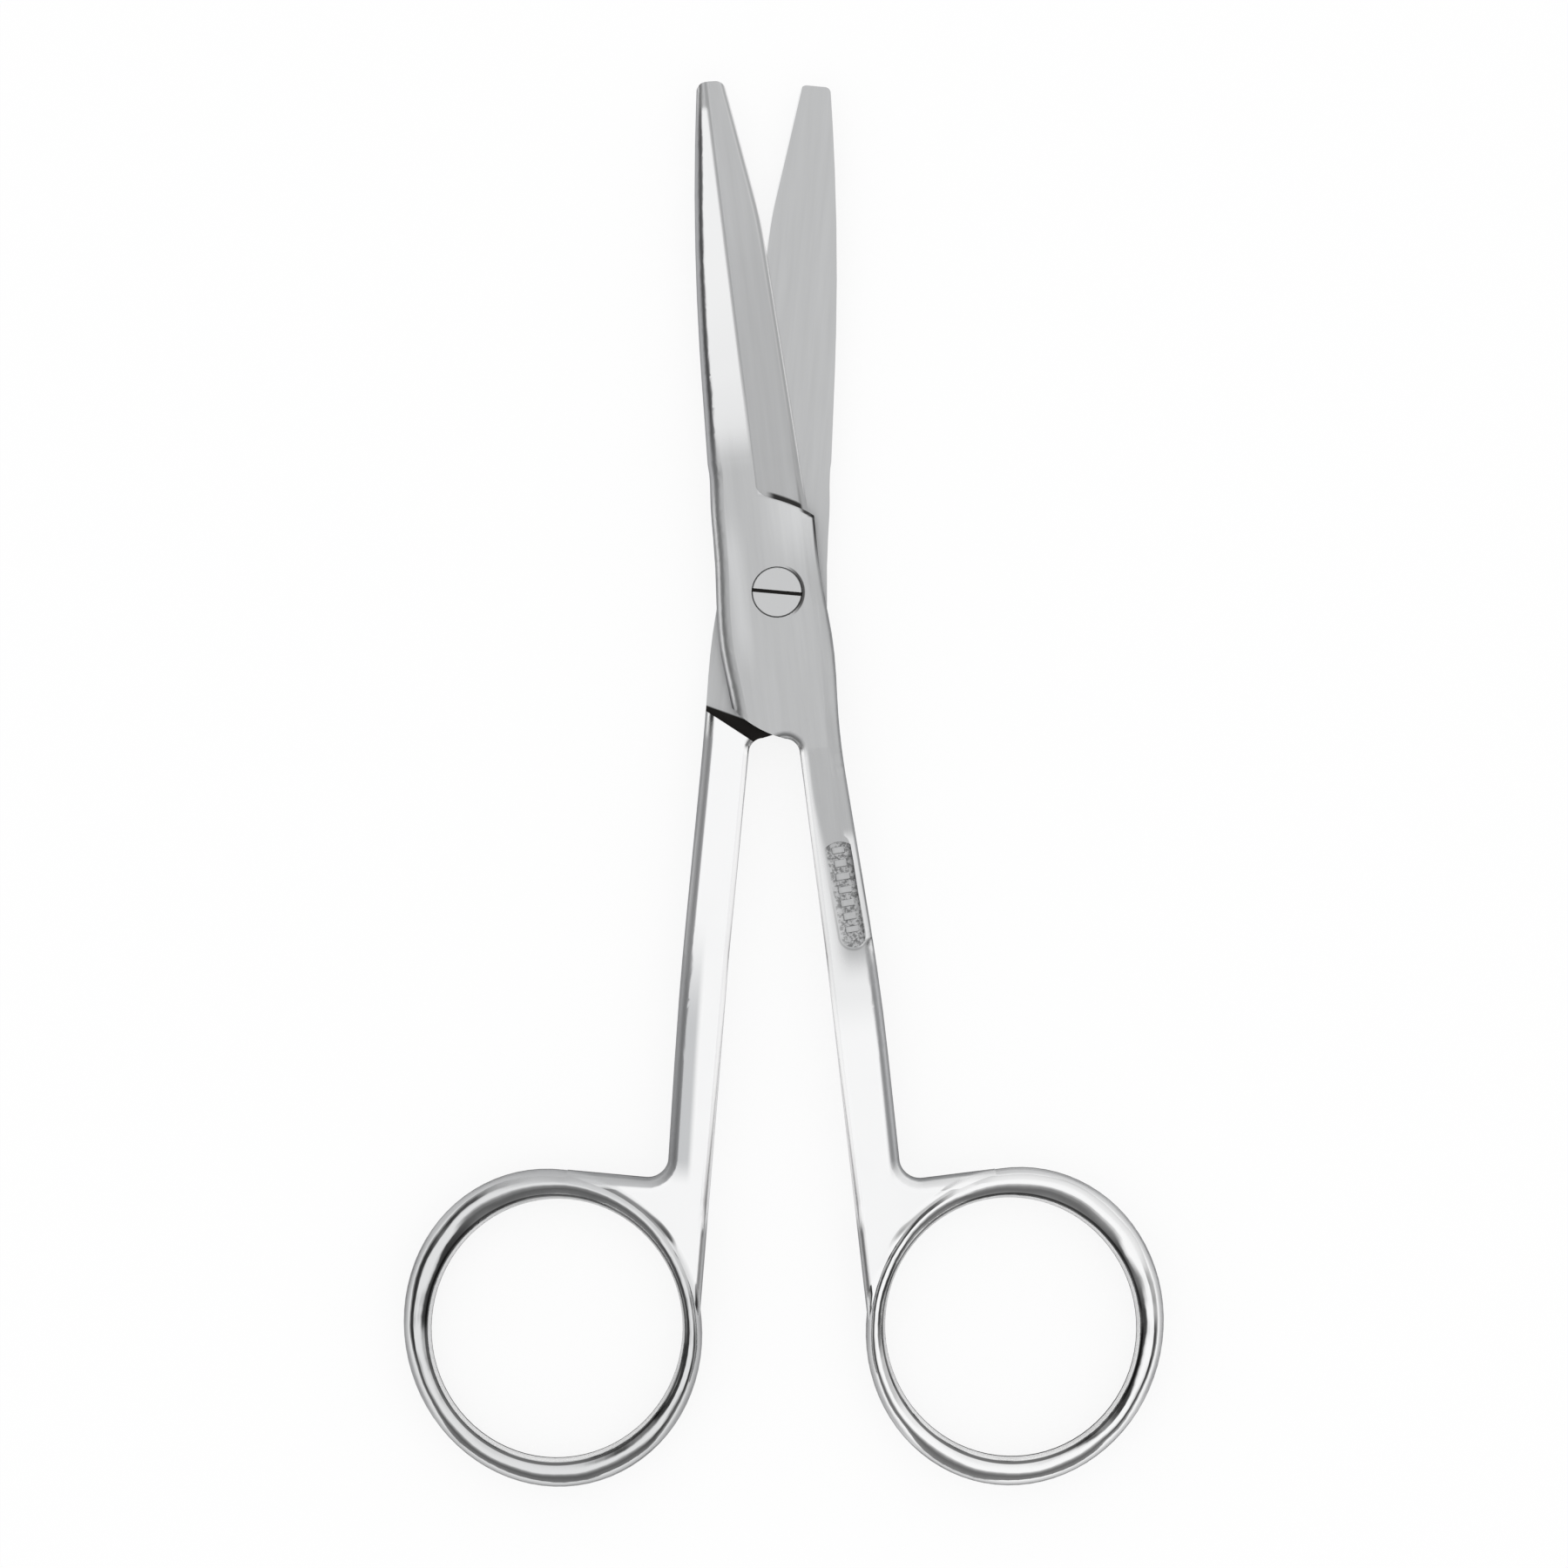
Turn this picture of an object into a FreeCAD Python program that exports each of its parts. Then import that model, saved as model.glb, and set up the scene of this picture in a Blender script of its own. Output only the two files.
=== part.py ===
import FreeCAD, Part
import math
import os

from FreeCAD import Vector

# Ring-handled surgical scissors with straight blades, 145 mm long. Two forged halves lie on each other
# at a lap joint and turn on one slotted screw.
#
# Each half is drawn closed, in its own frame: X across, Y towards the tip, and the face that slides
# on the other half in the plane Z = 0, with the outer face of its lap above. Its blade leans to -X
# and its ring lies at +X. The second half is the same forging turned over about the Y axis. Both are
# then turned apart about the screw, and lifted so that the pair lies on the plane Z = 0.
#
# Forgings are ground by hand, so a few places differ from half to half: those values come in pairs,
# the first for the upper half and the second for the lower one.
UPPER = 0
LOWER = 1

# Joint
lap_thickness = 2.6
lap_gap = 0.05
screw_offset = 0.56
opening_angle = 12.4

# Outline of the lap, from the root of the blade round to the step at its other side
bulge = 0.7
bulge_end_y = -15.0
lap_corner_x = -5.35
lap_corner_y = -11.5
lap_end_bow_x = -2.7
lap_end_bow_y = -13.95
neck_start_x = -0.45
neck_start_y = -15.1
neck_x = 0.42
neck_y = -15.55
neck_end_x = 0.85
neck_end_y = -16.7
step_x = 5.35
step_y = 7.4
step_bow_x = 2.9
step_bow_y = 8.95
step_end_x = 0.85
step_end_y = 9.85
run_out_bow_x = 0.0
run_out_bow_y = 10.5
run_out_y = 12.0
run_out_width = 2.2
shoulder_gap = 0.45
shoulder_drop = 1.0
shoulder_run = 4.0
shoulder_fall = 2.2

# Blade: its back and its cutting edge run straight, bend over a stated run and go on straight to the tip
root_y = 6.5
spine_root_x = -5.3
spine_slope = 0.052
spine_bend_y = 38.0
spine_bend_run = 15.0
spine_tip_slope = 0.165
edge_root_x = 4.75
edge_slope = -0.034
edge_bend_y = 38.6
edge_bend_run = 3.0
edge_tip_slope = -0.14
edge_land = 0.14
ridge_x = -0.3
ridge_tip_x = 0.1
ridge_tip_height = 1.05
ridge_bow = 1.8
flank_start_y = 14.0
flank_slope = 0.22
flank_blend = 12.0
back_round = 1.4
tip_y = (53.3, 52.6)
tip_round = (1.05, 0.65)
tip_spare = 0.6
blade_span_count = 13
lap_span_count = 7
lap_end_spare = 0.5
lap_bar_spare = 2.2

# Shank and the web that joins it to the ring. The rounding of its inner side ends inside the ring
shank_top_y = -16.5
side_heights = (1.0, -6.0, -15.5, -42.0)
side_x = ((5.2, 5.8, 5.1, 6.15), (5.25, 5.8, 5.6, 5.75))
side_reaches = (7.0, 4.0, 3.2, 2.8)
side_end_x = (5.8, 5.2)
inner_side_y = -38.0
inner_side_x = 0.95
inner_end_x = 0.5
web_top_y = (-62.0, -61.5)
shank_end_thickness = 4.5
outer_side_round = 1.4
inner_side_round = 0.8
inner_round_end = 12.5
web_fillet = 2.2

# Finger ring and the bow, the hole for the finger. The outer outline is the more oval of the two.
# The rings all but touch when the scissors are closed
ring_gap = 0.05
ring_half_width = 15.35
ring_half_height = 16.55
ring_tilt = -22.0
ring_wall_across = 2.35
ring_wall_along = 3.15
bow_shift = -0.42
web_start_angle = 176.0
web_middle_angle = 133.0
ring_seam_angle = 126.0
ring_station_count = 20
ring_pole_count = 12

# Screw
head_radius = 2.6
head_height = 1.15
head_stand = 0.05
head_chamfer = 0.12
stem_radius = 1.45
tail_recess = 0.06
running_fit = 0.04
thread_fit = 0.02
slot_width = 0.38
slot_depth = 0.55
slot_angle = -6.0

# Stamped panel on the shank of the upper half
panel_top_y = -26.8
panel_length = 12.0
panel_width = 2.7
panel_x = 3.5
panel_lean = 3.0
panel_depth = 0.18

# Reach of the cutting bodies, larger than any half, and the distance within which places count as one
beyond = 60.0
same_place = 0.01
same_height = 1e-6


def at(x, y, z=0.0):
    return Vector(x, y, z)


def line(start, end):
    return Part.makeLine(start, end)


def arc(start, middle, end):
    return Part.Arc(start, middle, end).toShape()


def rounded_path(corners, reaches):
    """Lines through the corners, each inner corner rounded by an arc that starts at its reach from it."""
    edges = []
    start = corners[0]
    for before, corner, after, reach in zip(corners, corners[1:], corners[2:], reaches):
        into = (corner - before).normalize()
        out = (after - corner).normalize()
        turn = into.getAngle(out)
        middle = corner + (out - into).normalize() * (reach * math.tan(turn / 4))
        edges.append(line(start, corner - into * reach))
        edges.append(arc(corner - into * reach, middle, corner + out * reach))
        start = corner + out * reach
    edges.append(line(start, corners[-1]))
    return edges


def prism(edges, low, high):
    """A solid over a closed plan outline, from one height to another."""
    face = Part.Face(Part.Wire(Part.__sortEdges__(edges)))
    face.translate(at(0, 0, low))
    return face.extrude(at(0, 0, high - low))


def bent(y, start_y, start_x, slope, bend_y, bend_run, end_slope):
    """A line across the half that runs straight, bends gently about bend_y and runs straight again."""
    past = y - bend_y
    if past > bend_run:
        turned = past
    elif past > -bend_run:
        turned = (past + bend_run) ** 2 / (4 * bend_run)
    else:
        turned = 0.0
    return start_x + slope * (y - start_y) + (end_slope - slope) * turned


def back_at(y):
    """Where the back of blade and lap lies across the half. Beside the screw it swells."""
    if y < root_y:
        share = (root_y - y) / (root_y - bulge_end_y)
        return spine_root_x - bulge * math.sin(math.pi * share) ** 2
    return bent(y, root_y, spine_root_x, spine_slope, spine_bend_y, spine_bend_run, spine_tip_slope)


def edge_at(y):
    """Where the cutting edge lies across the half."""
    return bent(y, step_y, edge_root_x, edge_slope, edge_bend_y, edge_bend_run, edge_tip_slope)


def ridge_at(y):
    """Place across and height of the ridge between the flank and the ground bevel."""
    rise = max(0.0, (y - root_y) / (tip_y[UPPER] - root_y))
    taper = max(0.0, (y - flank_start_y) / (tip_y[UPPER] - flank_start_y))
    height = lap_thickness + (ridge_tip_height - lap_thickness) * taper ** ridge_bow
    return ridge_x + (ridge_tip_x - ridge_x) * rise, height


def blade_section(y):
    """Sliding face, rounded back, flank, ridge and bevel, as one closed wire across the blade."""
    base = lap_gap / 2
    back = back_at(y)
    edge = edge_at(max(y, root_y))
    ridge, top = ridge_at(y)
    round_x = min(back_round, 0.6 * (ridge - back))
    share = min(1.0, max(0.0, (y - flank_start_y) / flank_blend))
    slope = flank_slope * share ** 2 * (3 - 2 * share)
    flank = top - slope * (ridge - back - round_x)
    round_z = min(back_round, 0.75 * (flank - base))
    bend = 1 - math.sqrt(0.5)
    wall_foot = at(back, y, base)
    wall_top = at(back, y, flank - round_z)
    round_middle = at(back + bend * round_x, y, flank - bend * round_z)
    flank_edge = at(back + round_x, y, flank)
    ridge_line = at(ridge, y, top)
    land_top = at(edge, y, base + edge_land)
    land_foot = at(edge, y, base)
    return Part.Wire([
        line(wall_foot, wall_top),
        arc(wall_top, round_middle, flank_edge),
        line(flank_edge, ridge_line),
        line(ridge_line, land_top),
        line(land_top, land_foot),
        line(land_foot, wall_foot),
    ])


def with_level_planes(body):
    """The body with its level faces as true planes, so that they merge with the plate's faces."""
    faces = []
    for face in body.Faces:
        first_u, last_u, first_v, last_v = face.ParameterRange
        middle_v = (first_v + last_v) / 2
        heights = [face.valueAt(u, v).z for u in (first_u, last_u) for v in (first_v, middle_v, last_v)]
        if max(heights) - min(heights) < same_height:
            plane = Part.Plane(FreeCAD.Vector(0, 0, heights[0]), FreeCAD.Vector(0, 0, 1))
            faces.append(Part.Face(plane, face.OuterWire))
        else:
            faces.append(face)
    solid = Part.Solid(Part.makeShell(faces))
    solid.fix(same_height, same_height, same_height)
    return solid


def bar(start_y, end_y, span_count):
    """A stretch of the half with the blade's section, lofted through evenly spaced stations."""
    step = (end_y - start_y) / round(span_count)
    sections = [blade_section(start_y + step * i) for i in range(round(span_count) + 1)]
    return with_level_planes(Part.makeLoft(sections, True, False))


def lap_end(start_x):
    """The curved end of the lap, from a place across the half to the start of the neck."""
    circle = Part.Circle(at(lap_corner_x, lap_corner_y), at(lap_end_bow_x, lap_end_bow_y),
                         at(neck_start_x, neck_start_y))
    centre = circle.Center
    drop = math.sqrt(circle.Radius ** 2 - (start_x - centre.x) ** 2)
    return arc(at(start_x, centre.y - drop), at(lap_end_bow_x, lap_end_bow_y), at(neck_start_x, neck_start_y))


def lap_bar():
    """The back of the lap, which carries on the blade's section as far as the lap's curved end."""
    end = lap_end(lap_corner_x - lap_end_spare)
    low = end.Vertexes[0].Point
    high = end.Vertexes[1].Point
    if low.x > high.x:
        low, high = high, low
    outline = [
        end,
        line(high, at(high.x, -beyond)),
        line(at(high.x, -beyond), at(low.x, -beyond)),
        line(at(low.x, -beyond), low),
    ]
    body = bar(lap_corner_y - lap_bar_spare, flank_start_y, lap_span_count)
    return body.cut(prism(outline, -lap_thickness, 2 * lap_thickness))


def blade(which):
    """The blade, lofted through its sections and trimmed to a blunt tip with rounded corners."""
    body = bar(flank_start_y, tip_y[UPPER] + tip_spare, blade_span_count)
    end = tip_y[which]
    corner = tip_round[which]
    shelf = end - corner
    left = back_at(shelf)
    right = edge_at(shelf)
    bend = corner * (1 - math.sqrt(0.5))
    outline = [
        line(at(-beyond, -beyond), at(-beyond, shelf)),
        line(at(-beyond, shelf), at(left, shelf)),
        arc(at(left, shelf), at(left + bend, end - bend), at(left + corner, end)),
        line(at(left + corner, end), at(right - corner, end)),
        arc(at(right - corner, end), at(right - bend, end - bend), at(right, shelf)),
        line(at(right, shelf), at(beyond, shelf)),
        line(at(beyond, shelf), at(beyond, -beyond)),
        line(at(beyond, -beyond), at(-beyond, -beyond)),
    ]
    return body.common(prism(outline, -lap_thickness, 2 * lap_thickness))


def tilted_ellipse(angle):
    """A point of the ring's outer outline, an ellipse leaning out at its top, about its own middle."""
    tilt = math.radians(ring_tilt)
    across = ring_half_width * math.cos(angle - tilt)
    along = ring_half_height * math.sin(angle - tilt)
    x = across * math.cos(tilt) - along * math.sin(tilt)
    y = across * math.sin(tilt) + along * math.cos(tilt)
    return at(x, y)


def ring_centre(which):
    """Just clear of the other ring when the scissors are closed, and level with the top of the web."""
    tilt = math.radians(ring_tilt)
    half_extent = math.hypot(ring_half_width * math.cos(tilt), ring_half_height * math.sin(tilt))
    top = tilted_ellipse(math.radians(90)).y
    return at(half_extent + ring_gap / 2, web_top_y[which] - top)


def ring_outer(which, angle):
    """A point of the ring's outer outline."""
    return ring_centre(which) + tilted_ellipse(angle)


def ring_inner(which, angle):
    """A point of the outline of the hole for the finger."""
    across = (ring_half_width - ring_wall_across) * math.cos(angle)
    along = (ring_half_height - ring_wall_along) * math.sin(angle)
    return ring_centre(which) + at(bow_shift + across, along)


def ring_middle(which, degrees):
    """A point on the line that runs round the ring midway through its wall."""
    angle = math.radians(degrees)
    return (ring_outer(which, angle) + ring_inner(which, angle)) * 0.5


def forging_outline(which):
    """Plan of lap, shank and web. It ends inside the ring, along the middle of the ring's wall."""
    web_top = web_top_y[which]
    crown = ring_middle(which, 90)
    neck_start = at(neck_start_x, neck_start_y)
    neck_end = at(neck_end_x, neck_end_y)
    end = lap_end(lap_end_bow_x - lap_end_spare)
    end_start = min((vertex.Point for vertex in end.Vertexes), key=lambda point: point.x)
    root = at(end_start.x, root_y)
    step = at(step_x, step_y)
    step_end = at(step_end_x, step_end_y)
    run_out = at(ridge_x, run_out_y)
    inner_middle = at(inner_side_x, inner_side_y)
    inner_end = at(inner_end_x, ring_centre(which).y)
    ring_side = ring_middle(which, web_start_angle)
    side_corners = [at(x, y) for x, y in zip(side_x[which], side_heights)]
    web_corner = at(side_end_x[which], web_top)
    outer_side = [at(crown.x, web_top), web_corner] + side_corners[::-1] + [step]
    return [
        line(root, end_start),
        end,
        arc(neck_start, at(neck_x, neck_y), neck_end),
        line(neck_end, inner_middle),
        line(inner_middle, inner_end),
        line(inner_end, ring_side),
        arc(ring_side, ring_middle(which, web_middle_angle), crown),
        line(crown, at(crown.x, web_top)),
        *rounded_path(outer_side, (web_fillet,) + side_reaches),
        arc(step, at(step_bow_x, step_bow_y), step_end),
        arc(step_end, at(run_out_bow_x, run_out_bow_y), run_out),
        line(run_out, at(ridge_x - run_out_width, root_y)),
        line(at(ridge_x - run_out_width, root_y), root),
    ]


def shoulder_cutter():
    """Room under the lap for the other half's lap, down to the shoulder where the full shank begins."""
    outer = at(shoulder_run - lap_corner_x, lap_corner_y + shoulder_drop - shoulder_gap)
    middle = at(-lap_end_bow_x, lap_end_bow_y - shoulder_gap)
    inner = at(-neck_start_x - shoulder_run, neck_start_y - shoulder_gap - shoulder_fall)
    edges = [
        arc(outer, middle, inner),
        line(inner, at(-beyond, inner.y)),
        line(at(-beyond, inner.y), at(-beyond, beyond)),
        line(at(-beyond, beyond), at(outer.x, beyond)),
        line(at(outer.x, beyond), outer),
    ]
    return prism(edges, -2 * lap_thickness, lap_gap / 2)


def shank_height_at(y):
    """Height of the shank's broad face above the middle plane. It falls from the lap to the ring."""
    fall = lap_thickness - shank_end_thickness / 2
    return lap_thickness - fall * (shank_top_y - y) / (shank_top_y - web_top_y[UPPER])


def taper_cutter(sign):
    """A wedge that thins the shank from the lap to the ring, on one of its two faces."""
    far = 2 * web_top_y[UPPER]
    corners = [
        at(0, shank_top_y, sign * lap_thickness),
        at(0, far, sign * shank_height_at(far)),
        at(0, far, sign * 3 * lap_thickness),
        at(0, shank_top_y, sign * 3 * lap_thickness),
    ]
    face = Part.Face(Part.makePolygon(corners + corners[:1]))
    face.translate(at(-beyond, 0, 0))
    return face.extrude(at(2 * beyond, 0, 0))


def sides(shape, sign, wanted):
    """The long edges of one broad face of the plate that pass a test on their middle."""
    found = []
    for edge in shape.Edges:
        half_way = (edge.FirstParameter + edge.LastParameter) / 2
        middle = edge.valueAt(half_way)
        level = abs(edge.tangentAt(half_way).z) < 0.5
        if level and sign * middle.z > shank_end_thickness / 3 and wanted(middle):
            found.append(edge)
    return found


def forging_plate(which):
    """Lap, shank and web: one plate, cut back to the lap's thickness and rounded along its sides."""
    between_x = (inner_side_x + 2 * side_end_x[which]) / 3
    web_top = web_top_y[which]

    def on_outer_side(p):
        return p.x > between_x and step_y > p.y > web_top - same_place

    def on_inner_side(p):
        return p.x < between_x and neck_end_y > p.y > web_top - inner_round_end

    plate = prism(forging_outline(which), -lap_thickness, lap_thickness)
    plate = plate.cut(shoulder_cutter())
    plate = plate.cut(taper_cutter(1)).cut(taper_cutter(-1))
    for side, radius in ((on_outer_side, outer_side_round), (on_inner_side, inner_side_round)):
        for sign in (1, -1):
            plate = plate.makeFillet(radius, sides(plate, sign, side))
    return plate


def ring(which):
    """The finger ring: an oval bar bent round, thinner beside the shank, as one seamless surface."""
    def pull(count):
        return (2 + math.cos(2 * math.pi / count)) / 3

    stations = round(ring_station_count)
    poles = round(ring_pole_count)
    centre = ring_middle(which, 0) * 0.5 + ring_middle(which, 180) * 0.5
    rows = []
    for station in range(stations):
        angle = math.radians(ring_seam_angle) + 2 * math.pi * station / stations
        outer = ring_outer(which, angle) - centre
        inner = ring_inner(which, angle) - centre
        row = []
        for pole in range(poles):
            turn = 2 * math.pi * pole / poles
            share = (1 + math.cos(turn) / pull(poles)) / 2
            lift = lap_thickness * math.sin(turn) / pull(poles)
            flat = (inner + (outer - inner) * share) * (1 / pull(stations))
            row.append(centre + flat + at(0, 0, lift))
        rows.append(row)
    surface = Part.BSplineSurface()
    surface.buildFromPolesMultsKnots(
        rows,
        [1] * (stations + 1),
        [1] * (poles + 1),
        list(range(stations + 1)),
        list(range(poles + 1)),
        True,
        True,
        3,
        3,
    )
    solid = Part.Solid(Part.Shell([surface.toShape()]))
    if solid.Volume < 0:
        solid.reverse()
    return solid


def cylinder(radius, low, high, x=0.0):
    return Part.makeCylinder(radius, high - low, at(x, 0, low))


def stamped_panel():
    """The shallow round-ended recess pressed into the shank of the upper half."""
    radius = panel_width / 2
    run = panel_length - panel_width
    edges = [
        line(at(-radius, 0), at(-radius, -run)),
        arc(at(-radius, -run), at(0, -run - radius), at(radius, -run)),
        line(at(radius, -run), at(radius, 0)),
        arc(at(radius, 0), at(0, radius * 0.35), at(-radius, 0)),
    ]
    floor = shank_height_at(panel_top_y - run / 2) - panel_depth
    panel = prism(edges, floor, 2 * lap_thickness)
    panel.rotate(at(0, 0, 0), at(0, 0, 1), panel_lean)
    panel.translate(at(panel_x, panel_top_y, 0))
    return panel


def half(which):
    """One forging, closed and in its own frame, before its bore is made."""
    body = forging_plate(which).fuse(lap_bar()).fuse(blade(which)).fuse(ring(which))
    return body.removeSplitter()


def upper_half():
    """The half that carries the screw's head. It turns on the screw."""
    body = half(UPPER)
    seat = lap_thickness - head_height
    body = body.cut(cylinder(stem_radius + running_fit, -lap_thickness, 2 * lap_thickness, screw_offset))
    body = body.cut(cylinder(head_radius + running_fit, seat - running_fit, 2 * lap_thickness, screw_offset))
    return body.cut(stamped_panel())


def lower_half():
    """The same forging turned over, with the hole that holds the screw's thread."""
    body = half(LOWER)
    body.rotate(at(0, 0, 0), at(0, 1, 0), 180)
    return body.cut(cylinder(stem_radius + thread_fit, -2 * lap_thickness, lap_thickness, screw_offset))


def joint_screw():
    """Turned screw: a flat slotted head that stands a hair proud, and a plain stem filed flush."""
    top = lap_thickness + head_stand
    seat = lap_thickness - head_height
    tail = -lap_thickness + tail_recess
    profile = [
        line(at(0, 0, tail), at(stem_radius - head_chamfer, 0, tail)),
        line(at(stem_radius - head_chamfer, 0, tail), at(stem_radius, 0, tail + head_chamfer)),
        line(at(stem_radius, 0, tail + head_chamfer), at(stem_radius, 0, seat)),
        line(at(stem_radius, 0, seat), at(head_radius, 0, seat)),
        line(at(head_radius, 0, seat), at(head_radius, 0, top - head_chamfer)),
        line(at(head_radius, 0, top - head_chamfer), at(head_radius - head_chamfer, 0, top)),
        line(at(head_radius - head_chamfer, 0, top), at(0, 0, top)),
        line(at(0, 0, top), at(0, 0, tail)),
    ]
    body = Part.Face(Part.Wire(profile)).revolve(at(0, 0, 0), at(0, 0, 1), 360)
    slot = Part.makeBox(4 * head_radius, slot_width, 2 * slot_depth)
    slot.translate(at(-2 * head_radius, -slot_width / 2, top - slot_depth))
    slot.rotate(at(0, 0, 0), at(0, 0, 1), slot_angle - opening_angle / 2)
    body = body.cut(slot)
    body.translate(at(screw_offset, 0, 0))
    return body


def placed(body, turn):
    """Turns a piece about the screw and brings it to the resting frame, screw on the Z axis."""
    body.translate(at(-screw_offset, 0, lap_thickness))
    body.rotate(at(0, 0, 0), at(0, 0, 1), turn)
    return body


def write(pieces):
    os.makedirs("parts", exist_ok=True)
    for name, body in pieces.items():
        body.exportStep(os.path.join("parts", name + ".step"))


write({
    "upper_half": placed(upper_half(), opening_angle / 2),
    "lower_half": placed(lower_half(), -opening_angle / 2),
    "joint_screw": placed(joint_screw(), opening_angle / 2),
})
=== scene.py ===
import bpy
import math
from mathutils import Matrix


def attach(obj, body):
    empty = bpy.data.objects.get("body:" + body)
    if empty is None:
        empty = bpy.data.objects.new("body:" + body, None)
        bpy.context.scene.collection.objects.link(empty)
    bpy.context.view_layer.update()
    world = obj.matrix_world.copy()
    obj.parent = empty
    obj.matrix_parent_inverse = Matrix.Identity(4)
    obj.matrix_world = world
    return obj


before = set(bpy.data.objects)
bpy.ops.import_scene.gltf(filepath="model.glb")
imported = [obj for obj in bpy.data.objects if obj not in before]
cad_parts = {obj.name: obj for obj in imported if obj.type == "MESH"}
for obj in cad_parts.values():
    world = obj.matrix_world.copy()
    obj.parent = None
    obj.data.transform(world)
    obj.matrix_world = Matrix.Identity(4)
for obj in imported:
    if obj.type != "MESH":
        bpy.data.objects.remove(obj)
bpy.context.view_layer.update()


# Picture: the scissors lie flat on a white table and the camera looks straight down at them from
# far above. It is turned a little, so that the tips lean to the left.
picture_width = 0.162
picture_centre = (0.0004, -0.0198)
picture_turn = -0.934
lens = 150.0
sensor = 36.0
joint_height = 0.004
sees_as_far_as = 10.0

camera_data = bpy.data.cameras.new("camera")
camera_data.lens = lens
camera_data.sensor_width = sensor
camera_data.clip_end = sees_as_far_as
camera = bpy.data.objects.new("camera", camera_data)
camera.location = (*picture_centre, picture_width * lens / sensor + joint_height)
camera.rotation_euler = (0.0, 0.0, math.radians(picture_turn))
bpy.context.scene.collection.objects.link(camera)
bpy.context.scene.camera = camera


# Table: white laminate. Seen straight or in the steel it is lifted towards plain white, and keeps
# part of the shadow under the scissors.
def feed(tree, socket, value):
    """Gives a socket a plain value, or a link when the value is another node's output."""
    if isinstance(value, bpy.types.NodeSocket):
        tree.links.new(value, socket)
    else:
        socket.default_value = value


def calc(tree, operation, a, b=0.0, c=0.0):
    """One step of arithmetic in a node tree."""
    node = tree.nodes.new("ShaderNodeMath")
    node.operation = operation
    for socket, value in zip(node.inputs, (a, b, c)):
        feed(tree, socket, value)
    return node.outputs[0]


def new_material(name):
    material = bpy.data.materials.new(name)
    material.use_nodes = True
    return material, material.node_tree, material.node_tree.nodes["Principled BSDF"]


table_reach = 1.5
table_white = 0.97
table_lift = 0.85
table_lift_in_steel = 0.1

corners = [(-1, -1), (1, -1), (1, 1), (-1, 1)]
table_mesh = bpy.data.meshes.new("table")
table_mesh.from_pydata([(table_reach * x, table_reach * y, 0.0) for x, y in corners], [],
                       [(0, 1, 2, 3)])
table = bpy.data.objects.new("table", table_mesh)
bpy.context.scene.collection.objects.link(table)
laminate, tree, shader = new_material("white_laminate")
shader.inputs["Base Color"].default_value = (table_white, table_white, table_white, 1.0)
shader.inputs["Roughness"].default_value = 1.0
shader.inputs["Specular IOR Level"].default_value = 0.0
glow = tree.nodes.new("ShaderNodeEmission")
blend = tree.nodes.new("ShaderNodeMixShader")
path = tree.nodes.new("ShaderNodeLightPath")
seen = calc(tree, "MAXIMUM", path.outputs["Is Camera Ray"], path.outputs["Is Transmission Ray"])
in_steel = calc(tree, "MULTIPLY", path.outputs["Is Glossy Ray"], table_lift_in_steel)
feed(tree, blend.inputs[0], calc(tree, "MULTIPLY_ADD", seen, table_lift, in_steel))
tree.links.new(shader.outputs[0], blend.inputs[1])
tree.links.new(glow.outputs[0], blend.inputs[2])
tree.links.new(blend.outputs[0], tree.nodes["Material Output"].inputs["Surface"])
table_mesh.materials.append(laminate)


# Light: a white tent. Plain white light falls from all round. The steel reflects a white roof, a
# bright wall beyond the tips, a greyer one beyond the rings, and a dark opening on each side.
def grey_scale(tree, value, stops):
    """Turns a value into a level, read from (value, level) pairs."""
    node = tree.nodes.new("ShaderNodeValToRGB")
    node.color_ramp.interpolation = "EASE"
    elements = node.color_ramp.elements
    while len(elements) < len(stops):
        elements.new(0.5)
    for element, (position, level) in zip(elements, stops):
        element.position = position
        element.color = (level, level, level, 1.0)
    feed(tree, node.inputs[0], value)
    return node.outputs[0]


def mix_colour(tree, share, first, second):
    node = tree.nodes.new("ShaderNodeMix")
    node.data_type = "RGBA"
    feed(tree, node.inputs["Factor"], share)
    feed(tree, node.inputs["A"], first)
    feed(tree, node.inputs["B"], second)
    return node.outputs["Result"]


def three_parts(tree, vector):
    """The x, y and z of a vector."""
    node = tree.nodes.new("ShaderNodeSeparateXYZ")
    tree.links.new(vector, node.inputs[0])
    return node.outputs


# Each pair is how far down from the zenith, where 0.5 is the horizon, and how bright it is there.
tent_beyond_tips = ((0.0, 1.0), (0.17, 0.98), (0.3, 0.85), (0.5, 0.75))
tent_beyond_rings = ((0.0, 1.0), (0.07, 0.95), (0.14, 0.5), (0.22, 0.24), (0.34, 0.14),
                     (0.46, 0.2), (0.5, 0.3))
tent_beside = ((0.0, 1.0), (0.16, 1.0), (0.21, 0.85), (0.27, 0.05), (0.4, 0.03), (0.47, 0.35),
               (0.5, 0.5))
wall_fades_in = ((0.15, 0.0), (0.9, 1.0))
bearing_of_tips = 62.0
bearing_of_rings = 262.0
white = (1.0, 1.0, 1.0, 1.0)

world = bpy.data.worlds.new("tent")
world.use_nodes = True
bpy.context.scene.world = world
tree = world.node_tree
east, north, up = three_parts(tree, tree.nodes.new("ShaderNodeTexCoord").outputs["Generated"])
from_zenith = calc(tree, "DIVIDE", calc(tree, "ARCCOSINE", up), math.pi)
bearing = calc(tree, "ARCTAN2", north, east)


def towards(degrees):
    """1 in the direction of a bearing, 0 from square to it on."""
    off = calc(tree, "COSINE", calc(tree, "SUBTRACT", bearing, math.radians(degrees)))
    return grey_scale(tree, off, wall_fades_in)


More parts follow.
